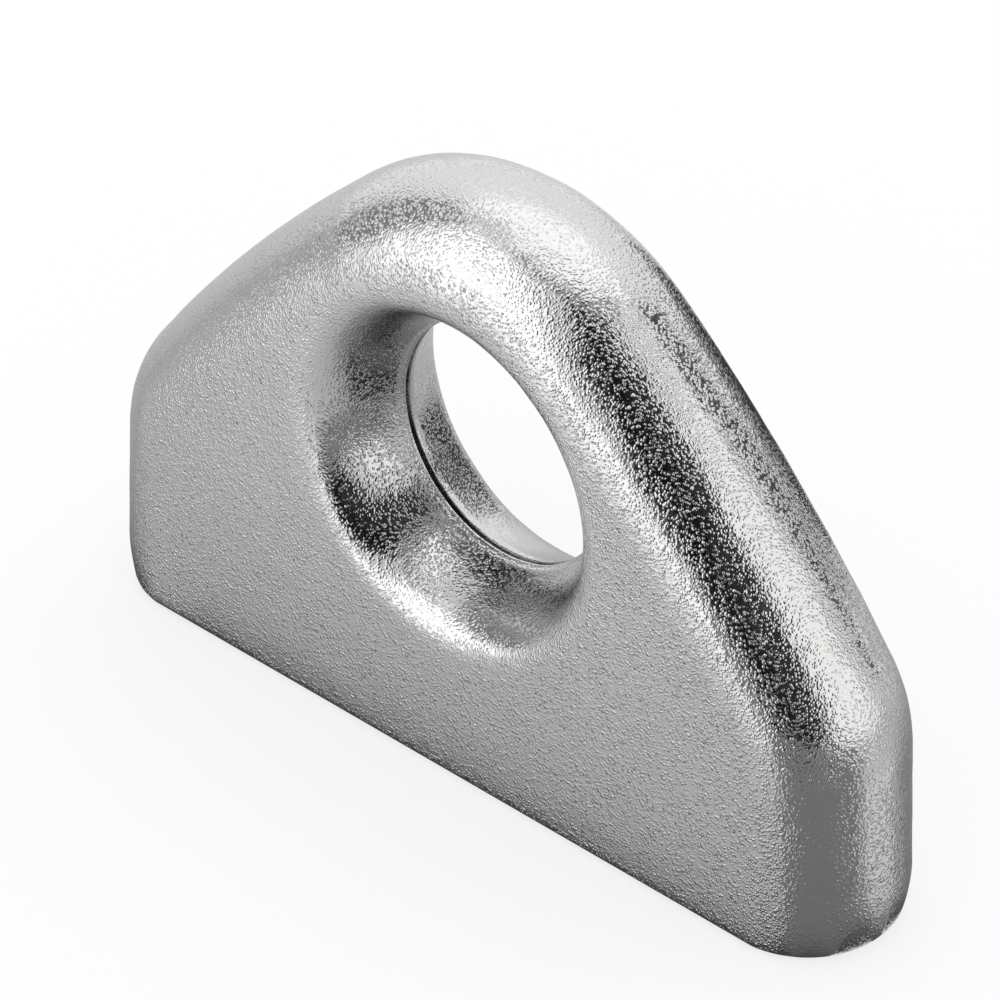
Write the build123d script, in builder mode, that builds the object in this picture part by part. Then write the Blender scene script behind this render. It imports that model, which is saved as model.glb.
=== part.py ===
from build123d import *
from math import acos, cos, degrees, radians, sin, tan
import os

# Bow eye: one cast fitting with a flat base, rounded ends, bowed slopes, an arched crown and a flared eye.
# Millimetres. X runs along the base, Y along the eye's axis, Z up. The origin is the middle of the base face.

# Body outline, seen along Y
base_length = 100.0
body_height = 64.5
crown_radius = 28.0
slope_radius = 190.0
shoulder_radius = 17.5
end_height = 19.5
end_draft = 3.25

# Body section: a full round over the whole edge, less a narrow land on the mould's parting line
body_thickness = 19.0
parting_land = 0.3
base_edge_chamfer = 1.0

# Eye: a narrow land in the middle of the wall, and a flare each way that opens until it lies on the face.
# The flare leaves the land at its angle and peaks a hair above the face. Round the crown its mouth runs
# just past the start of the body's own round, so the two rounds meet there in a faint crest.
# Fullness is how far each end's tangent pulls the flare towards the corner where the two tangents meet.
eye_height = 35.0
throat_diameter = 26.6
throat_land = 2.0
mouth_diameter = 42.0
flare_angle = 25.0
throat_fullness = 0.92
mouth_fullness = 0.85
flare_lift = 0.005

# Two blind tapped holes in the base face, for bolts that come through from inside the hull
bolt_spacing = 60.0
tap_drill_diameter = 8.5
tap_depth = 20.0
drill_point_angle = 118.0
hole_chamfer = 0.75
chamfer_angle = 90.0

# The eye's cutter runs this far past the faces it opens
cutter_overrun = 2.0

half_length = base_length / 2
half_thickness = body_thickness / 2
edge_round = half_thickness - parting_land / 2

# Ends: a straight line at the draft angle, tangent to the shoulder arc
draft = radians(end_draft)
end_top = Vector(half_length - end_height * tan(draft), end_height)
shoulder_centre = end_top - Vector(cos(draft), sin(draft)) * shoulder_radius

# Slopes: a long arc tangent to the crown and the shoulder, so its centre lies a known reach from both centres
crown_centre = Vector(0, body_height - crown_radius)
crown_to_shoulder = shoulder_centre - crown_centre
span = crown_to_shoulder.length
crown_reach = slope_radius - crown_radius
shoulder_reach = slope_radius - shoulder_radius
reach_angle = acos((crown_reach**2 + span**2 - shoulder_reach**2) / (2 * crown_reach * span))
slope_direction = crown_to_shoulder.normalized().rotate(Axis.Z, -degrees(reach_angle))
slope_centre = crown_centre + slope_direction * crown_reach
slope_foot = shoulder_centre + (shoulder_centre - slope_centre).normalized() * shoulder_radius
slope_top = crown_centre - slope_direction * crown_radius

# Eye section, as radius and distance from the middle plane
throat_edge = Vector(throat_diameter / 2, throat_land / 2)
mouth_edge = Vector(mouth_diameter / 2, half_thickness + flare_lift)
flare_depth = mouth_edge.Y - throat_edge.Y
flare_corner = Vector(throat_edge.X + flare_depth * tan(radians(flare_angle)), mouth_edge.Y)
throat_pull = throat_edge + (flare_corner - throat_edge) * throat_fullness
mouth_pull = mouth_edge + (flare_corner - mouth_edge) * mouth_fullness
cutter_end = half_thickness + cutter_overrun

drill_radius = tap_drill_diameter / 2
drill_point_length = drill_radius / tan(radians(drill_point_angle / 2))

with BuildPart() as bow_eye:
    # Outline, drawn on the middle plane and thickened both ways
    with BuildSketch(Plane.XZ):
        with BuildLine():
            base = Line((0, 0), (half_length, 0))
            end = Line(base @ 1, end_top)
            shoulder = TangentArc(end @ 1, slope_foot, tangent=end % 1)
            slope = TangentArc(shoulder @ 1, slope_top, tangent=shoulder % 1)
            crown = TangentArc(slope @ 1, (0, body_height), tangent=slope % 1)
            Line(crown @ 1, base @ 0)
        make_face()
        mirror(about=Plane.YZ)
    extrude(amount=half_thickness, both=True)

    # Full round over both faces' edges, then the base's own edge broken
    face_edges = bow_eye.edges().filter_by(Axis.Y, reverse=True)
    base_face = bow_eye.faces().sort_by(Axis.Z)[0]
    fillet(face_edges - base_face.edges(), radius=edge_round)
    chamfer(bow_eye.faces().sort_by(Axis.Z)[0].edges(), length=base_edge_chamfer)

    # Eye
    with BuildSketch(Plane.XY.offset(eye_height)):
        with BuildLine():
            Line((throat_edge.X, 0), throat_edge)
            Bezier(throat_edge, throat_pull, mouth_pull, mouth_edge)
            Polyline(mouth_edge, (mouth_edge.X, cutter_end), (0, cutter_end), (0, 0), (throat_edge.X, 0))
        make_face()
        mirror(about=Plane.XZ)
    revolve(axis=Axis((0, 0, eye_height), (0, 1, 0)), mode=Mode.SUBTRACT)

    # Tapped holes at their drilled size, each with a chamfered mouth and the cone that the drill leaves
    with Locations(Plane.XY.rotated((180, 0, 0))):
        with GridLocations(bolt_spacing, 0, 2, 1):
            CounterSinkHole(drill_radius, drill_radius + hole_chamfer, tap_depth, chamfer_angle)
    with Locations(Plane.XY.offset(tap_depth)):
        with GridLocations(bolt_spacing, 0, 2, 1):
            Cone(
                drill_radius,
                0,
                drill_point_length,
                align=(Align.CENTER, Align.CENTER, Align.MIN),
                mode=Mode.SUBTRACT,
            )

bow_eye.part.label = "bow_eye"
os.makedirs("parts", exist_ok=True)
export_step(bow_eye.part, "parts/bow_eye.step")
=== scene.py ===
from math import acos, cos, pi, radians, sin, sqrt, tan

import bmesh
import bpy
import numpy as np
from mathutils import Matrix, Vector, noise
from mathutils.geometry import delaunay_2d_cdt


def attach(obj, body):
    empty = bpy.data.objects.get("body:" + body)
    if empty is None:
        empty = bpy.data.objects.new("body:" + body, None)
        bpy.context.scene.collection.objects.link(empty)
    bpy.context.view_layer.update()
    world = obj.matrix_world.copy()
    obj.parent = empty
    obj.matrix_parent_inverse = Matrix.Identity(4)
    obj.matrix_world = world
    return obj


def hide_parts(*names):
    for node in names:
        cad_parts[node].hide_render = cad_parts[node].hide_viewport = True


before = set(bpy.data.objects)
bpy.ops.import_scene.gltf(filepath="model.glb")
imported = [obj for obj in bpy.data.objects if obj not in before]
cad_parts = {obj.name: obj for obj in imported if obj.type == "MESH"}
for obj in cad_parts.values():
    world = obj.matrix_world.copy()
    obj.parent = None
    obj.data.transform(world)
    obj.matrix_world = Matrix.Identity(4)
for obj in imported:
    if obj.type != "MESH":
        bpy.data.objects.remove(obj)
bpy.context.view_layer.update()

mm = 0.001

# The casting: the same sizes as the CAD body, in millimetres and degrees, then the mesh's own settings

casting = {
    "baseLength": 100.0,
    "bodyHeight": 64.5,
    "crownRadius": 28.0,
    "slopeRadius": 190.0,
    "shoulderRadius": 17.5,
    "endHeight": 19.5,
    "endDraft": 3.25,
    "thickness": 19.0,
    "partingLand": 0.3,
    "baseEdge": 0.8,
    "wornHeight": 6.0,  # the ends are worn round at the foot, up to this height
    "wornDepth": 1.3,  # and this deep at the base
    "eyeHeight": 35.0,
    "throatDiameter": 26.6,
    "throatLand": 2.0,
    "mouthDiameter": 42.0,
    "flareAngle": 25.0,
    "throatFullness": 0.92,
    "mouthFullness": 0.85,
    # the line left where the two halves of the eye's core met: place along the eye, and how far it stands in
    "seamAlong": (-0.8, -0.5, -0.32, -0.16, 0.0, 0.16, 0.3, 0.46, 0.72),
    "seamInward": (0.0, 0.12, 0.2, 0.1, -0.5, -0.7, -0.05, 0.12, 0.0),
    "holes": {
        "spacing": 60.0,
        "minorRadius": 4.25,
        "majorRadius": 4.96,
        "mouthRadius": 5.0,
        "depth": 20.0,
        "pitch": 1.5,
        "pointAngle": 118.0,
        "toothGain": 1.25,  # over 1 cuts the thread's crests and roots flat
        "runOut": 1.0,  # the thread fades out over this height at the bottom
        "coneRings": (0.66, 0.33),
        "around": 44,
        "rowsPerPitch": 6,
    },
    "gridRadius": 18.4,  # the ring where the flare's own grid ends
    "blend": 0.08,  # how softly the flare's mouth and the body's round run together
    "rimSlope": 0.15,  # the flare's rise past its mouth, and how far it goes on
    "rimReach": 5.0,
    "flarePoints": 400,
    "meshStep": 0.47,
    "arcSteps": 6,  # the fewest in one arc
    "edgeRows": 5,
    "baseCoarser": 1.6,
    # points that fill the flat faces: scatter and clearance in steps, and a number for each random draw
    "fillScatter": 0.12,
    "fillClearance": 0.55,
    "fillPrecision": 1e-7,
    "faceDraw": 11,
    "baseDraw": 12,
    "weld": 0.002,
}


def outlineCurve(step):
    # Right half from the top of the end line over the shoulder and slope to the crown, then mirrored.
    # Returns points and outward normals in the XZ plane.
    c = casting
    draft = radians(c["endDraft"])
    half = c["baseLength"] / 2
    endTop = np.array([half - c["endHeight"] * tan(draft), c["endHeight"]])
    endNormal = np.array([cos(draft), sin(draft)])
    shoulderCentre = endTop - endNormal * c["shoulderRadius"]
    crownCentre = np.array([0.0, c["bodyHeight"] - c["crownRadius"]])
    across = shoulderCentre - crownCentre
    span = np.hypot(*across)
    reachA = c["slopeRadius"] - c["crownRadius"]
    reachB = c["slopeRadius"] - c["shoulderRadius"]
    turn = acos((reachA ** 2 + span ** 2 - reachB ** 2) / (2 * reachA * span))
    direction = np.arctan2(across[1], across[0]) - turn
    slopeCentre = crownCentre + reachA * np.array([cos(direction), sin(direction)])
    footAngle = np.arctan2(*(shoulderCentre - slopeCentre)[::-1])
    topAngle = direction + pi
    topAngle = np.arctan2(sin(topAngle), cos(topAngle))  # the same angle within half a turn either way
    points, normals = [], []
    for centre, radius, start, end in (
        (shoulderCentre, c["shoulderRadius"], draft, footAngle),
        (slopeCentre, c["slopeRadius"], footAngle, topAngle),
        (crownCentre, c["crownRadius"], topAngle, pi / 2),
    ):
        count = max(c["arcSteps"], round(radius * abs(end - start) / step))
        for a in np.linspace(start, end, count + 1)[:-1]:
            normals.append([cos(a), sin(a)])
            points.append(centre + radius * np.array([cos(a), sin(a)]))
    points, normals = np.array(points), np.array(normals)
    top, up = [[0.0, c["bodyHeight"]]], [[0.0, 1.0]]
    flip = np.array([-1.0, 1.0])
    points = np.vstack([points, top, points[::-1] * flip])
    normals = np.vstack([normals, up, normals[::-1] * flip])
    return points, normals


def gridFaces(rows, columns, closed=False):
    # Quads of a rows x columns grid of points; closed joins the last column to the first
    faces = []
    for r in range(rows - 1):
        for k in range(columns if closed else columns - 1):
            here, there = r * columns + k, r * columns + (k + 1) % columns
            faces.append((here, there, there + columns, here + columns))
    return faces


def sectionRows(step):
    # Across the thickness: distance from the middle plane, and how far the round has drawn in there
    c = casting
    edge = (c["thickness"] - c["partingLand"]) / 2
    count = round(edge * pi / 2 / step)
    a = np.linspace(0, pi / 2, count + 1)
    y = c["partingLand"] / 2 + edge * np.sin(a)
    inset = edge * (1 - np.cos(a))
    return np.r_[-y[::-1], y], np.r_[inset[::-1], inset]


def planarFill(loop, holeLoops, step, draw):
    # Even triangles inside a convex loop and outside the holes, with points scattered about one step apart
    c = casting
    clear = c["fillClearance"] * step
    rng = np.random.default_rng(draw)
    low, high = loop.min(0), loop.max(0)
    rowHeight = step * sqrt(3) / 2
    us = np.arange(low[0], high[0], step)
    vs = np.arange(low[1], high[1], rowHeight)
    grid = np.array([[u + (j % 2) * step / 2, v] for j, v in enumerate(vs) for u in us])
    grid += rng.uniform(-c["fillScatter"], c["fillScatter"], grid.shape) * step
    ends = np.roll(loop, -1, axis=0)
    edge = ends - loop
    normal = np.stack([edge[:, 1], -edge[:, 0]], 1) / np.linalg.norm(edge, axis=1)[:, None]
    area = np.sum(loop[:, 0] * ends[:, 1] - loop[:, 1] * ends[:, 0])
    if area < 0:
        normal = -normal
    keep = np.ones(len(grid), bool)
    for p, n in zip(loop, normal):
        keep &= (grid - p) @ n < -clear
    for centre, radius, _ in holeLoops:
        keep &= np.hypot(*(grid - centre).T) > radius + clear
    grid = grid[keep]
    verts = [Vector(p) for p in loop]
    edges = [(i, (i + 1) % len(loop)) for i in range(len(loop))]
    ringOf = [-1] * len(loop)
    for number, (_, _, ring) in enumerate(holeLoops):
        first = len(verts)
        verts += [Vector(p) for p in ring]
        edges += [(first + i, first + (i + 1) % len(ring)) for i in range(len(ring))]
        ringOf += [number] * len(ring)
    verts += [Vector(p) for p in grid]
    ringOf += [-1] * len(grid)
    outVerts, _, outFaces, origin, _, _ = delaunay_2d_cdt(verts, edges, [], 1, c["fillPrecision"])

    # A face with all its corners on the ring of one hole lies inside that hole
    group = np.array([ringOf[o[0]] if o else -1 for o in origin])
    faces = [f for f in outFaces if group[f[0]] < 0 or len(set(group[list(f)])) > 1]
    return np.array(outVerts), faces


def flareCurve():
    # From the throat's edge to the mouth, as radius and distance from the middle plane
    c = casting
    throat = np.array([c["throatDiameter"] / 2, c["throatLand"] / 2])
    mouth = np.array([c["mouthDiameter"] / 2, c["thickness"] / 2])
    spread = (mouth[1] - throat[1]) * tan(radians(c["flareAngle"]))
    corner = np.array([throat[0] + spread, mouth[1]])
    pullA = throat + (corner - throat) * c["throatFullness"]
    pullB = mouth + (corner - mouth) * c["mouthFullness"]
    t = np.linspace(0, 1, c["flarePoints"])[:, None]
    return ((1 - t) ** 3 * throat + 3 * (1 - t) ** 2 * t * pullA
            + 3 * (1 - t) * t ** 2 * pullB + t ** 3 * mouth)


def flareRows(step):
    # Even rows over the part of the flare inside the grid's ring
    c = casting
    fine = flareCurve()
    fine = fine[fine[:, 0] < c["gridRadius"]]
    travelled = np.r_[0, np.cumsum(np.linalg.norm(np.diff(fine, axis=0), axis=1))]
    wanted = np.linspace(0, travelled[-1], round(travelled[-1] / step) + 1)
    return np.stack([np.interp(wanted, travelled, fine[:, k]) for k in (0, 1)], 1)


def lowerToFlare(places):
    # Brings the faces and the body's round down to the flare's mouth, run together with a soft minimum
    c = casting
    fine = flareCurve()
    reach = c["rimReach"]
    rise = [[c["mouthDiameter"] / 2 + reach, c["thickness"] / 2 + reach * c["rimSlope"]]]
    fine = np.vstack([fine, rise])
    away = np.hypot(places[:, 0], places[:, 2] - c["eyeHeight"])
    flare = np.interp(away, fine[:, 0], fine[:, 1])
    height = np.abs(places[:, 1])
    near = away < fine[-1, 0]
    gap = np.clip(1 - np.abs(flare - height) / c["blend"], 0, 1)
    joined = np.minimum(flare, height) - gap ** 2 * c["blend"] / 4
    places[near, 1] = (np.sign(places[:, 1]) * joined)[near]
    return places


def wearEnds(places):
    # Draws the foot of each rounded end in towards the middle of its round
    c = casting
    edge = (c["thickness"] - c["partingLand"]) / 2
    middle = c["baseLength"] / 2 - edge
    out = np.abs(places[:, 0]) - middle
    away = np.maximum(np.hypot(out, places[:, 1]), 1e-6)  # never 0, because it divides
    share = np.clip(out / away, 0, 1) * np.clip(away / edge, 0, 1) ** 2
    rise = np.clip(1 - places[:, 2] / c["wornHeight"], 0, 1)
    pull = c["wornDepth"] * rise ** 2 * share / away
    places[:, 0] -= np.sign(places[:, 0]) * out * pull
    places[:, 1] -= places[:, 1] * pull
    return places


def sweepBody(step):
    # Stations of the body's round, from one end's foot over the crown to the other's, and their rows' y
    c = casting
    points, normals = outlineCurve(step)
    ys, insets = sectionRows(step)
    tops = [p - n * insets[:, None] for p, n in zip(points, normals)]
    draft = radians(c["endDraft"])
    endCount = round((c["endHeight"] - c["baseEdge"]) / step)
    ends = []
    for side, top in ((1, tops[0]), (-1, tops[-1])):
        down = np.array([sin(draft) * side, -cos(draft)])
        reach = (top[:, 1] - c["baseEdge"]) / cos(draft)
        ends.append([top + down * (reach * t)[:, None] for t in np.linspace(1, 0, endCount + 1)])
    return np.array(ends[0][:-1] + tops + ends[1][::-1][1:]), ys


def roundBaseEdge(sweep, ys, bottom):
    # Rows of a small quarter round all the way about, from the sides down to the flat base
    c = casting
    half = c["thickness"] / 2
    right = np.stack([sweep[0, :, 0], ys], 1)
    left = np.stack([sweep[-1, :, 0], ys], 1)[::-1]
    back = np.stack([bottom[::-1, 0], np.full(len(bottom), half)], 1)
    front = np.stack([bottom[:, 0], np.full(len(bottom), -half)], 1)
    plan = np.vstack([right, back, left, front])
    before, after = np.roll(plan, 1, axis=0), np.roll(plan, -1, axis=0)
    tangent = (after - before) / np.linalg.norm(after - before, axis=1)[:, None]
    outward = np.stack([tangent[:, 1], -tangent[:, 0]], 1)
    rows = []
    for a in np.linspace(0, pi / 2, c["edgeRows"]):
        ring = plan - outward * c["baseEdge"] * (1 - cos(a))
        z = c["baseEdge"] * (1 - sin(a))
        rows.append(np.column_stack([ring, np.full(len(ring), z)]))
    return rows


def tapHole(centre, angles, circle):
    # Chamfer, a helical thread and the drill's cone, from the base upwards
    h = casting["holes"]
    rowCount = round(h["depth"] / h["pitch"] * h["rowsPerPitch"])
    rings = []
    for z in np.linspace(0, h["depth"], rowCount + 1):
        turn = (z / h["pitch"] - angles / (2 * pi)) % 1.0
        tooth = 1 - np.abs(2 * turn - 1)
        flank = np.clip(tooth * h["toothGain"] - (h["toothGain"] - 1) / 2, 0, 1)
        fade = np.clip((h["depth"] - h["runOut"] - z) / h["runOut"], 0, 1)
        r = h["minorRadius"] + (h["majorRadius"] - h["minorRadius"]) * flank
        r = np.maximum(r, h["mouthRadius"] - z)
        r = np.minimum(r, h["minorRadius"] + fade * h["pitch"])
        rings.append(np.column_stack([centre + circle * r[:, None], np.full(len(r), z)]))
    point = h["minorRadius"] / tan(radians(h["pointAngle"] / 2))
    for share in h["coneRings"]:
        z = h["depth"] + point * (1 - share)
        cone = centre + circle * h["minorRadius"] * share
        rings.append(np.column_stack([cone, np.full(len(circle), z)]))
    wall = gridFaces(len(rings), len(circle), closed=True)
    tip = len(rings) * len(circle)
    first = tip - len(circle)
    wall += [(first + i, first + (i + 1) % len(circle), tip) for i in range(len(circle))]
    return np.vstack(rings + [[[*centre, h["depth"] + point]]]), wall


def buildCasting():
    c, h = casting, casting["holes"]
    step = c["meshStep"]
    verts, faces = [], []

    def add(newVerts, newFaces):
        offset = len(verts)
        verts.extend(map(tuple, newVerts))
        faces.extend(tuple(offset + i for i in f) for f in newFaces)

    # The body's round and both ends
    sweep, ys = sweepBody(step)
    around = np.stack([sweep[:, :, 0], np.broadcast_to(ys, sweep.shape[:2]), sweep[:, :, 1]], 2)
    add(lowerToFlare(around.reshape(-1, 3)), gridFaces(len(sweep), len(ys)))

    # Front and back faces, from the round's inner edge to the flare's grid
    rows = flareRows(step)
    ringCount = round(2 * pi * c["gridRadius"] / step)
    ringAngles = np.linspace(0, 2 * pi, ringCount, endpoint=False)
    eye = np.array([0.0, c["eyeHeight"]])
    gridRing = eye + rows[-1, 0] * np.stack([np.cos(ringAngles), np.sin(ringAngles)], 1)
    inner = sweep[:, 0, :]
    bottomCount = round((inner[0, 0] - inner[-1, 0]) / step)
    bottom = np.stack([np.linspace(inner[-1, 0], inner[0, 0], bottomCount + 1),
                       np.full(bottomCount + 1, c["baseEdge"])], 1)[1:-1]
    loop = np.vstack([inner, bottom])
    flat, flatFaces = planarFill(loop, [(eye, rows[-1, 0], gridRing)], step, c["faceDraw"])
    for side in (-1, 1):
        y = np.full(len(flat), side * c["thickness"] / 2)
        add(lowerToFlare(np.stack([flat[:, 0], y, flat[:, 1]], 1)), flatFaces)

    # Flares, and between them the throat's land with the seam round it
    land = c["throatDiameter"] / 2 - np.array(c["seamInward"])
    radius = np.r_[rows[::-1, 0], land, rows[:, 0]]
    depth = np.r_[-rows[::-1, 1], c["seamAlong"], rows[:, 1]]
    bore = np.array([[r * cos(a), y, c["eyeHeight"] + r * sin(a)]
                     for r, y in zip(radius, depth) for a in ringAngles])
    add(bore, gridFaces(len(radius), ringCount, closed=True))

    # Flat base with its two tapped holes
    edgeRows = roundBaseEdge(sweep, ys, bottom)
    add(np.vstack(edgeRows), gridFaces(len(edgeRows), len(edgeRows[0]), closed=True))
    angles = np.linspace(0, 2 * pi, h["around"], endpoint=False)
    circle = np.stack([np.cos(angles), np.sin(angles)], 1)
    centres = [np.array([side * h["spacing"] / 2, 0.0]) for side in (-1, 1)]
    mouths = [(centre, h["mouthRadius"], centre + circle * h["mouthRadius"]) for centre in centres]
    coarse = step * c["baseCoarser"]
    under, underFaces = planarFill(edgeRows[-1][:, :2], mouths, coarse, c["baseDraw"])
    add(np.column_stack([under, np.zeros(len(under))]), underFaces)
    for centre in centres:
        add(*tapHole(centre, angles, circle))

    mesh = bpy.data.meshes.new("castingSkin")
    mesh.from_pydata(wearEnds(np.array(verts)), [], faces)
    piece = bpy.data.objects.new("castingSkin", mesh)
    bpy.context.scene.collection.objects.link(piece)
    return piece


def weldSkin(piece):
    work = bmesh.new()
    work.from_mesh(piece.data)
    bmesh.ops.remove_doubles(work, verts=work.verts, dist=casting["weld"])
    bmesh.ops.triangulate(work, faces=work.faces)
    bmesh.ops.recalc_face_normals(work, faces=work.faces)
    openEdges = [e for e in work.edges if not e.is_manifold]
    print("skin:", len(work.verts), "points,", len(work.faces), "faces,", len(openEdges), "open edges")
    work.to_mesh(piece.data)
    work.free()
    piece.data.transform(Matrix.Scale(mm, 4))
    piece.data.shade_smooth()


skin = buildCasting()
weldSkin(skin)
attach(skin, "root")
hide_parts("bow_eye")
print("casting built")


# Camera at the photograph's viewing angle, in millimetres and degrees

viewpoint = {
    "yaw": 42.471,
    "pitch": 35.292,
    "roll": 0.3135,
    "distance": 536.13,
    "pixelsPerMm": 9.93,
    "shiftRight": 0.4242,
    "shiftUp": -22.847,
    "frame": 1000,
    "sensor": 36.0,
    "clip": (0.01, 20),  # metres
}


def placeCamera():
    v = viewpoint
    yaw, pitch, roll = (radians(v[k]) for k in ("yaw", "pitch", "roll"))
    right = Vector((cos(yaw), sin(yaw), 0))
    level = Vector((-sin(yaw), cos(yaw), 0))
    forward = level * cos(pitch) - Vector((0, 0, sin(pitch)))
    up = level * sin(pitch) + Vector((0, 0, cos(pitch)))
    right, up = right * cos(roll) + up * sin(roll), up * cos(roll) - right * sin(roll)
    place = -(right * v["shiftRight"] + up * v["shiftUp"] + forward * v["distance"]) * mm
    camera = bpy.data.cameras.new("camera")
    camera.sensor_width = v["sensor"]
    camera.lens = v["sensor"] * v["pixelsPerMm"] * v["distance"] / v["frame"]
    camera.clip_start, camera.clip_end = v["clip"]
    eye = bpy.data.objects.new("camera", camera)
    bpy.context.scene.collection.objects.link(eye)
    turned = Matrix((right, up, -forward)).transposed().to_4x4()
    eye.matrix_world = Matrix.Translation(place) @ turned
    bpy.context.scene.camera = eye


placeCamera()
print("camera placed")


# Metal: one cast skin, satin with a pebbled grain; sizes in millimetres

metal = {
    "colour": (0.50, 0.50, 0.495),
    "roughness": (0.09, 0.15),
    "roughSize": 2.5,  # the cloudy patches that the roughness follows, and the part of their noise used
    "roughDetail": 3.0,
    "roughNoise": (0.35, 0.65),
    "grainSize": 0.6,
    "grainDetail": 1.0,
    "grainHeight": 0.085,
    # pebbles: how far apart they lie, the share of that at which their flank ends, height
    "pebbleSpacing": 0.285,
    "pebbleFoot": 0.56,
    "pebbleHeight": 0.08,
    # fewer and larger pebbles among them
    "fleckSpacing": 0.5,
    "fleckFoot": 0.42,
    "fleckHeight": 0.09,
    # share of the grain in the eye and on the rounds; the radii, and the distances behind the face's plane,
    # between which it grows back to all of it
    "eyeShare": 0.72,
    "eyeReach": (17.5, 21.0),
    "roundShare": 0.47,
    "roundReach": (-1.0, -0.1),
    # the grain round each upright end: degrees from the parting line to the face, and its share there
    "endAngles": (0, 12, 24, 60, 74, 92),
    "endShares": (1.9, 1.9, 1.1, 1.1, 2.2, 1.0),
    "endFade": 3.0,  # height over which the end's grain gives way to the shoulder's
    "endInside": -2.0,  # how far in from the middle of its round the end's grain starts
    # painted shade in the seam's groove, near black: half its width, how deep it is looked for, depth at
    # which it is full
    "grooveShadeColour": (0.01, 0.01, 0.01),
    "grooveShadeWidth": 0.5,
    "grooveShadeDepth": 1.0,
    "grooveShadeFade": 0.08,
    # the mould's slow waves, then its small lumps: size, height, and a shift that keeps their noises apart
    "mouldWaves": ((5.0, 0.05, 3.7), (2.2, 0.022, 11.3)),
    "inwardBias": 0.55,
    "calmFoot": 0.8,  # no waves below this height, all of them once this much higher
    "calmRise": 2.0,
}


def addAttribute(mesh, name, values):
    mesh.attributes.new(name, "FLOAT", "POINT").data.foreach_set("value", values)


def finishSkin(piece):
    # Slow waves and small lumps left by the mould, always inwards so the outline keeps its size
    m, c = metal, casting
    mesh = piece.data
    count = len(mesh.vertices)
    places, directions = np.empty(count * 3), np.empty(count * 3)
    mesh.vertices.foreach_get("co", places)
    mesh.vertices.foreach_get("normal", directions)
    places, directions = places.reshape(-1, 3), directions.reshape(-1, 3)
    moved = np.zeros(count)
    for size, height, shift in m["mouldWaves"]:
        scaled = places / (size * mm) + shift
        moved += height * mm * np.array([noise.noise(Vector(p)) - m["inwardBias"] for p in scaled])
    z = places[:, 2] / mm
    keep = np.clip((z - m["calmFoot"]) / m["calmRise"], 0, 1)
    places += directions * (np.minimum(moved, 0) * keep)[:, None]
    mesh.vertices.foreach_set("co", places.ravel())

    # The eye and the rounds keep a calmer grain than the open faces; the upright ends have their own
    x, y = np.abs(places[:, 0]) / mm, np.abs(places[:, 1]) / mm
    away = np.hypot(places[:, 0], places[:, 2] - c["eyeHeight"] * mm) / mm
    grain = np.interp(away, m["eyeReach"], (m["eyeShare"], 1.0))
    grain *= np.interp(y - c["thickness"] / 2, m["roundReach"], (m["roundShare"], 1.0))
    out = x - c["baseLength"] / 2 + (c["thickness"] - c["partingLand"]) / 2
    endShare = np.interp(np.degrees(np.arctan2(y, out)), m["endAngles"], m["endShares"])
    low = np.clip((c["endHeight"] - z) / m["endFade"], 0, 1) * (out > m["endInside"])
    grain = grain * (1 - low) + grain * endShare * low
    addAttribute(mesh, "grain", grain)

    # Painted shade: the seam's groove is coloured near black where its shade falls
    depth = away - c["throatDiameter"] / 2
    inGroove = (y < m["grooveShadeWidth"]) & (depth < m["grooveShadeDepth"])
    addAttribute(mesh, "grooveShade", np.clip(depth / m["grooveShadeFade"], 0, 1) * inGroove)
    mesh.update()


def nodeTree(material):
    material.use_nodes = True
    tree = material.node_tree
    tree.nodes.clear()
    return tree


def addNode(tree, kind, inputs=None, **settings):
    node = tree.nodes.new(kind)
    for name, value in settings.items():
        setattr(node, name, value)
    for name, value in (inputs or {}).items():
        if isinstance(value, bpy.types.NodeSocket):
            tree.links.new(value, node.inputs[name])
        else:
            node.inputs[name].default_value = value
    return node


def castMetal():
    m = metal
    material = bpy.data.materials.new("castMetal")
    tree = nodeTree(material)
    place = addNode(tree, "ShaderNodeTexCoord").outputs["Object"]
    share = addNode(tree, "ShaderNodeAttribute", attribute_name="grain").outputs["Fac"]
    grooveShade = addNode(tree, "ShaderNodeAttribute", attribute_name="grooveShade").outputs["Fac"]

    def speckle(size, detail):
        return addNode(tree, "ShaderNodeTexNoise", {
            "Vector": place, "Scale": 1 / (size * mm), "Detail": detail}).outputs["Fac"]

    def scale(value, start, end, **settings):
        return addNode(tree, "ShaderNodeMapRange", {
            "Value": value, "From Min": start[0], "From Max": start[1],
            "To Min": end[0], "To Max": end[1]}, **settings).outputs["Result"]

    def bump(height, distance, under=None):
        inputs = {"Height": height, "Distance": distance * mm, "Strength": share}
        if under is not None:
            inputs["Normal"] = under
        return addNode(tree, "ShaderNodeBump", inputs).outputs["Normal"]

    normal = bump(speckle(m["grainSize"], m["grainDetail"]), m["grainHeight"])
    for kind in ("pebble", "fleck"):
        spots = addNode(tree, "ShaderNodeTexVoronoi", {
            "Vector": place, "Scale": 1 / (m[kind + "Spacing"] * mm)}).outputs["Distance"]
        domes = scale(spots, (0.0, m[kind + "Foot"]), (1.0, 0.0), interpolation_type="SMOOTHSTEP")
        normal = bump(domes, m[kind + "Height"], normal)
    roughness = scale(speckle(m["roughSize"], m["roughDetail"]), m["roughNoise"], m["roughness"])
    # The base colour turns near black in the seam's groove: painted shade
    colour = addNode(tree, "ShaderNodeMix", {0: grooveShade}, data_type="RGBA")
    colour.inputs["A"].default_value = (*m["colour"], 1)
    colour.inputs["B"].default_value = (*m["grooveShadeColour"], 1)
    shader = addNode(tree, "ShaderNodeBsdfPrincipled", {
        "Base Color": colour.outputs["Result"], "Metallic": 1.0,
        "Roughness": roughness, "Normal": normal})
    addNode(tree, "ShaderNodeOutputMaterial", {"Surface": shader.outputs["BSDF"]})
    return material


finishSkin(skin)
skin.data.materials.append(castMetal())
print("metal laid on")


# Studio: a pale floor, a white room and some cards that only reflections see

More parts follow.
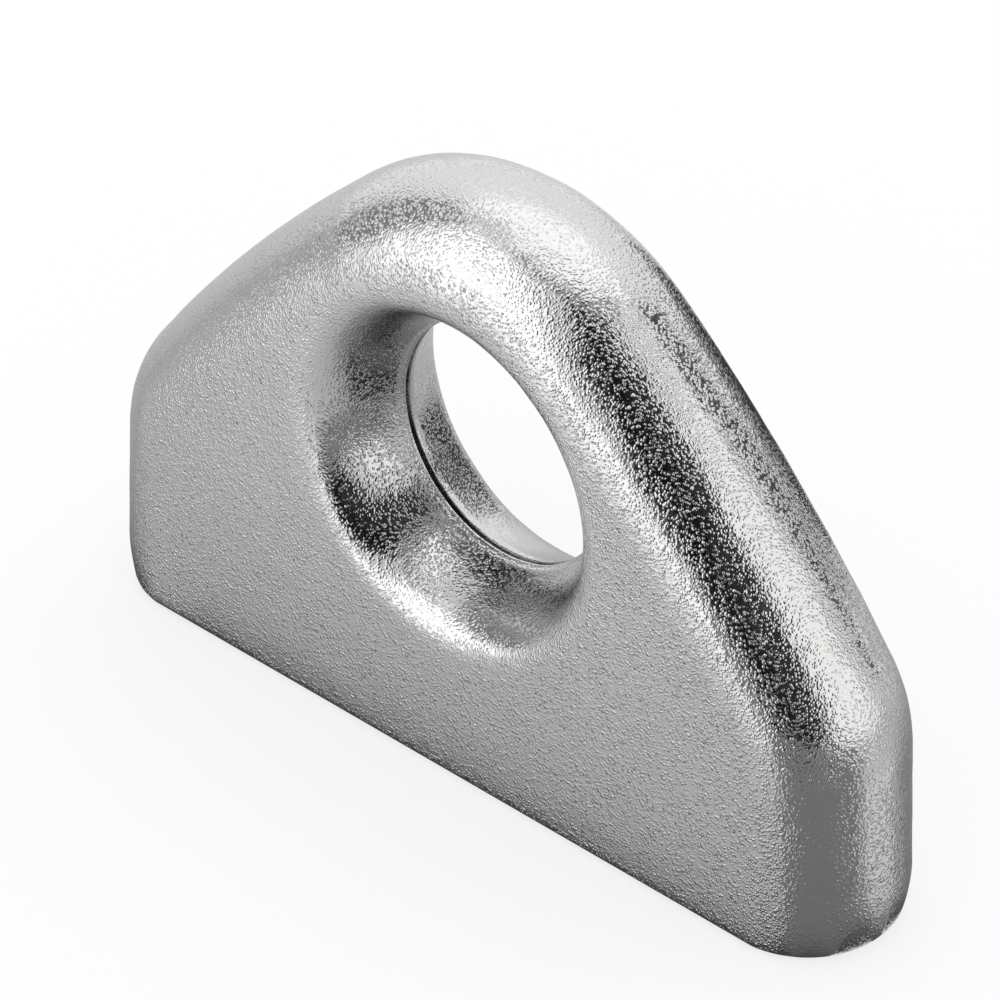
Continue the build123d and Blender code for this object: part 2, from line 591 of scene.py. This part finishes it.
studio = {
    "floorSize": 12.0,
    "floorDrop": 0.05,  # millimetres under the base
    "floorColour": 0.3,
    "floorGlow": 0.7,
    "worldStrength": 1.0,
    "cardSteps": 33,
    # the cards stand round the casting, each a little nearer than the one before it; metres, then degrees
    "reach": 1.2,
    "spacing": 0.01,
    "centreHeight": 0.03,
    "feather": 2.5,
    # azimuth from +X towards +Y at the card's foot, elevation, how far the top leans round, brightness;
    # angles in degrees, later cards in front of earlier ones
    "cards": {
        "backCard": ((56, 184), (-2, 60), 0, 1.35),
        "rightCard": ((-20, 38), (-2, 46), 0, 1.65),
        "topRightCard": ((0, 60), (46, 60), 0, 1.1),
        "keyCard": ((-148, -93), (-4, 53), 6, 2.1),
        "darkFront": ((-89, -34), (-8, 60), 24, 0.01),
        "darkShoulder": ((-60, -36), (10, 62), 26, 0.05),
        "leftSlot": ((-176, -150), (-6, 50), 0, 0.35),
        "darkSlot": ((56, 76), (6, 46), -18, 0.1),
        "darkCorner": ((76, 112), (-12, 10), -6, 0.15),
        "capCard": ((-180, 180), (68, 89), 0, 1.8),
        "darkTop": ((-120, 24), (56, 69), 0, 0.45),
        "overheadCard": ((30, 196), (52, 86), 0, 1.9),
    },
    # the floor as the metal sees it, with painted shadow dark under the casting and painted light bright far
    # out:
    # brightness by distance in millimetres, for whole sectors of the floor and for the strip before the face
    "groundGlow": {0.4: 0.02, 2: 0.12, 5: 0.28, 12: 0.4, 30: 0.55, 60: 0.7, 1100: 0.95},
    "darkGlow": {0.4: 0.02, 2: 0.1, 5: 0.25, 30: 0.3, 1100: 0.35},
    "backGlow": {0.4: 0.02, 2: 0.1, 5: 0.25, 30: 0.33, 50: 0.45, 110: 0.9, 1100: 1.0},
    "farGlow": {70: 0.05, 1100: 0.05},
    "leftGlow": {12: 0.6, 40: 0.75, 110: 0.7, 1100: 0.6},
    "brightGlow": {0.4: 0.02, 3: 0.2, 8: 0.8, 14: 1.05, 30: 1.1, 80: 0.8, 1100: 0.6},
    "frontGlow": {0.3: 0.02, 1: 0.25, 4: 0.58, 13: 0.74, 30: 0.84, 57: 0.95, 110: 1.5, 250: 2.0, 1100: 2.1},
    # where a sector's point lies (none: the casting's foot), azimuths, feather in degrees, brightness
    "groundCards": {
        "roundGround": (None, (-180, 180), 0, "groundGlow"),
        "darkGround": ((44.6, -5.6), (-92, 9), 2.5, "darkGlow"),
        "brightGround": ((47.6, -1.2), (8, 54), 2.5, "brightGlow"),
        "darkBackGround": ((47, 3.6), (62, 142), 2.5, "backGlow"),
        "farGround": ((0, 0), (82, 109), 1.5, "farGlow"),
        "leftGround": ((-22, -9.5), (-181, -143), 8, "leftGlow"),
    },
    "groundGap": 0.1,  # height of the lowest sector, and of each next one over it, in millimetres
    "rim": 0.08,  # feather of a sector's near and far edge, and of the strip's ends, as a share
    "frontStrip": (-900, 400),
    "stripHeight": 0.15,
}


def hideFromAllButGloss(card):
    card.visible_camera = False
    card.visible_diffuse = False
    card.visible_shadow = False
    card.visible_volume_scatter = False


def cardMaterial(name):
    material = bpy.data.materials.new(name)
    tree = nodeTree(material)
    edge = addNode(tree, "ShaderNodeAttribute", attribute_name="cover").outputs["Fac"]
    light = addNode(tree, "ShaderNodeAttribute", attribute_name="glow").outputs["Fac"]
    glow = addNode(tree, "ShaderNodeEmission", {"Strength": light}).outputs["Emission"]
    clear = addNode(tree, "ShaderNodeBsdfTransparent").outputs["BSDF"]
    mixed = addNode(tree, "ShaderNodeMixShader", {0: edge, 1: clear, 2: glow}).outputs["Shader"]
    addNode(tree, "ShaderNodeOutputMaterial", {"Surface": mixed})
    return material


def addCard(name, places, cover, strength):
    # The places are a square grid; strength is one value, or one for each place
    side = studio["cardSteps"]
    mesh = bpy.data.meshes.new(name)
    mesh.from_pydata([tuple(p) for p in places], [], gridFaces(side, side))
    addAttribute(mesh, "cover", cover)
    addAttribute(mesh, "glow", np.broadcast_to(strength, len(places)))
    mesh.materials.append(cardMaterial(name))
    card = bpy.data.objects.new(name, mesh)
    bpy.context.scene.collection.objects.link(card)
    hideFromAllButGloss(card)


def edgeCover(u, v, feather):
    # 0 on the rim, 1 once inside the feathered edge; a feather of 0 leaves that way's edges hard
    cover = 1
    for place, width in zip((u, v), feather):
        if width:
            cover *= np.clip(min(place, 1 - place) / width, 0, 1)
    return cover


def glowStops(stops, count):
    # Distances that grow by an even factor between the first and last stop, and the brightness at each
    marks = np.log(list(stops))
    logs = np.linspace(marks[0], marks[-1], count)
    return np.exp(logs), np.interp(logs, marks, list(stops.values()))


def footPoint(angle):
    # Where the casting's foot faces a given way
    edge = casting["thickness"] / 2 - casting["wornDepth"]
    middle = (casting["baseLength"] - casting["thickness"]) / 2
    return (middle if cos(angle) > 0 else -middle) + edge * cos(angle), edge * sin(angle)


def standCards(steps):
    s = studio
    for number, (name, (azimuths, elevations, lean, strength)) in enumerate(s["cards"].items()):
        wide, tall = azimuths[1] - azimuths[0], elevations[1] - elevations[0]
        feather = (s["feather"] / wide if wide < 360 else 0, s["feather"] / tall)
        reach = s["reach"] - s["spacing"] * number
        places, cover = [], []
        for v in steps:
            for u in steps:
                a, e = radians(azimuths[0] + wide * u + lean * v), radians(elevations[0] + tall * v)
                places.append(np.array([cos(a) * cos(e), sin(a) * cos(e), sin(e)]) * reach
                              + [0, 0, s["centreHeight"]])
                cover.append(edgeCover(u, v, feather))
        addCard(name, places, cover, strength)


def layGround(steps):
    # Painted shadow and light: floor sectors that only reflections see, dark at the casting's foot where its
    # shade falls and bright further out
    s = studio
    for number, (name, (apex, azimuths, feather, glow)) in enumerate(s["groundCards"].items()):
        wide = azimuths[1] - azimuths[0]
        z = s["groundGap"] * (number + 1)
        distances, light = glowStops(s[glow], len(steps))
        places, cover = [], []
        for v, far in zip(steps, distances):
            for u in steps:
                a = radians(azimuths[0] + wide * u)
                x, y = apex or footPoint(a)
                places.append([(x + far * cos(a)) * mm, (y + far * sin(a)) * mm, z * mm])
                cover.append(edgeCover(u, v, (feather / wide, s["rim"])))
        addCard(name, places, cover, np.repeat(light, len(steps)))

    # The strip before the face: painted shadow close to the face, painted light far out, seen only in
    # reflections
    left, right = s["frontStrip"]
    face = -casting["thickness"] / 2
    distances, light = glowStops(s["frontGlow"], len(steps))
    places = [[(left + (right - left) * u) * mm, (face - far) * mm, s["stripHeight"] * mm]
              for far in distances for u in steps]
    across = [edgeCover(u, 0, (s["rim"], 0)) for u in steps]
    addCard("frontStrip", places, across * len(steps), np.repeat(light, len(steps)))


def layFloor():
    s = studio
    bpy.ops.mesh.primitive_plane_add(size=s["floorSize"], location=(0, 0, -s["floorDrop"] * mm))
    floor = bpy.context.object
    floor.name = "floor"
    material = bpy.data.materials.new("paleFloor")
    tree = nodeTree(material)
    rays = addNode(tree, "ShaderNodeLightPath").outputs
    seen = rays["Is Camera Ray"]
    for kind in ("Is Glossy Ray", "Is Transmission Ray"):
        seen = addNode(tree, "ShaderNodeMath", {0: seen, 1: rays[kind]}, operation="MAXIMUM").outputs[0]
    glow = addNode(tree, "ShaderNodeMath", {0: seen, 1: s["floorGlow"]}, operation="MULTIPLY").outputs[0]
    lit = addNode(tree, "ShaderNodeBsdfDiffuse", {"Color": (*[s["floorColour"]] * 3, 1)}).outputs["BSDF"]
    white = addNode(tree, "ShaderNodeEmission", {"Strength": glow}).outputs["Emission"]
    both = addNode(tree, "ShaderNodeAddShader", {0: lit, 1: white}).outputs["Shader"]
    addNode(tree, "ShaderNodeOutputMaterial", {"Surface": both})
    floor.data.materials.append(material)


def lightRoom():
    world = bpy.data.worlds.new("whiteRoom")
    world.use_nodes = True
    background = world.node_tree.nodes["Background"].inputs
    background["Color"].default_value = (1, 1, 1, 1)
    background["Strength"].default_value = studio["worldStrength"]
    bpy.context.scene.world = world


cardSteps = np.linspace(0, 1, studio["cardSteps"])
standCards(cardSteps)
layGround(cardSteps)
layFloor()
lightRoom()
print("studio set")

bpy.context.scene.view_settings.view_transform = "Standard"
